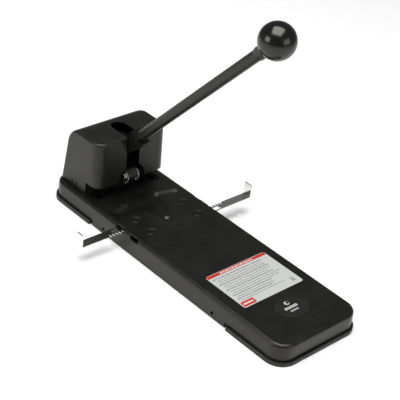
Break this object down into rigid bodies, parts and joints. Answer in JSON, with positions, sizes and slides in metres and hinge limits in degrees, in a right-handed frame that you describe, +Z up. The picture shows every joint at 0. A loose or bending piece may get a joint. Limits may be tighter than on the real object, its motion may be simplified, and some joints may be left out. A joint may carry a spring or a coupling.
{
  "type": "hole punch",
  "caption": "Heavy-duty desk hole punch: long pressed black base, covered punching head, long raised lever with a ball knob, toothed side paper guides.",
  "frame": {"origin": "centre of the underside of the base, on the table", "axes": "+Z up, +Y towards the punching head, -Y towards the user, +X to the user's right"},
  "size_m": [0.236, 0.3968, 0.3222],
  "materials": {
    "base_paint": "satin black enamel on pressed steel, faint orange peel, paler on the rolled edges",
    "cover_paint": "satin black enamel",
    "tray_plastic": "fine-grained black moulded plastic",
    "frame_paint": "black oxide with oil sheen",
    "dark_steel": "black oxide",
    "lever_paint": "satin black enamel, rubbed near the knob",
    "collar_steel": "satin black",
    "knob_plastic": "polished black thermoset",
    "black_bolt": "black oxide",
    "black_rivet": "satin black enamel",
    "ground_steel": "ground tool steel",
    "zinc_steel": "bright zinc plating",
    "spring_steel": "drawn wire",
    "bright_nickel": "bright nickel plating with fine drawing lines",
    "label_face": "printed film, pale with a red strip and grey text bars",
    "badge_face": "printed oval film, dark with a pale outline"
  },
  "bodies": {
    "frame": {"base_tray": "base_paint", "tray_posts": "base_paint", "front_tray": "tray_plastic", "front_tray_screws": "zinc_steel", "die_plate": "dark_steel", "left_die": "ground_steel", "right_die": "ground_steel", "punch_frame": "frame_paint", "frame_bolts": "black_bolt", "guide_bar": "frame_paint", "guide_bar_screws": "black_bolt", "stop_pin": "zinc_steel", "stop_pin_washers": "zinc_steel", "fulcrum_pin": "zinc_steel", "fulcrum_washers": "zinc_steel", "left_return_spring": "spring_steel", "right_return_spring": "spring_steel", "pinion_stud": "zinc_steel", "pinion_clip": "zinc_steel", "guide_rivets": "black_rivet", "guide_washers": "zinc_steel", "head_cover": "cover_paint", "cover_screws": "black_bolt", "info_label": "label_face", "oval_badge": "badge_face"},
    "lever": {"lever_hub": "lever_paint", "lever_rod": "lever_paint", "hub_set_screw": "black_bolt", "rod_collar": "collar_steel", "ball_knob": "knob_plastic"},
    "punch_set": {"left_punch": "ground_steel", "right_punch": "ground_steel", "cross_shaft": "ground_steel", "shaft_clips": "black_bolt"},
    "left_guide": {"left_guide_rack": "bright_nickel"},
    "right_guide": {"right_guide_rack": "bright_nickel"},
    "pinion_gear": {"pinion": "bright_nickel"},
    "chip_drawer": {"chip_tray": "tray_plastic"}
  },
  "joints": [
    {"name": "lever_press", "type": "hinge", "parent": "frame", "child": "lever", "pos_m": [0, 0.157, 0.07375], "axis": [1, 0, 0], "range_deg": [0, 41.7], "stiffness_Nm_per_rad": 1, "springref_deg": -54.43},
    {"name": "punch_slide", "type": "slide", "parent": "frame", "child": "punch_set", "axis": [0, 0, -1], "range_m": [0, 0.0195], "deforming": ["left_return_spring", "right_return_spring"]},
    {"name": "left_guide_slide", "type": "slide", "parent": "frame", "child": "left_guide", "axis": [1, 0, 0], "range_m": [-0.0305, 0.033]},
    {"name": "pinion_turn", "type": "hinge", "parent": "frame", "child": "pinion_gear", "pos_m": [0, 0.0545, 0.021], "axis": [0, 0, 1], "range_deg": [-280, 280]},
    {"name": "right_guide_slide", "type": "slide", "parent": "frame", "child": "right_guide", "axis": [-1, 0, 0], "range_m": [-0.0305, 0.033]},
    {"name": "chip_tray_slide", "type": "slide", "parent": "frame", "child": "chip_drawer", "axis": [0, 1, 0], "range_m": [0, 0.074]}
  ],
  "couplings": [
    {"joint": "punch_slide", "follows": "lever_press", "m_per_rad": 0.026697},
    {"joint": "pinion_turn", "follows": "left_guide_slide", "rad_per_m": -119.05},
    {"joint": "right_guide_slide", "follows": "left_guide_slide", "ratio": 1}
  ]
}
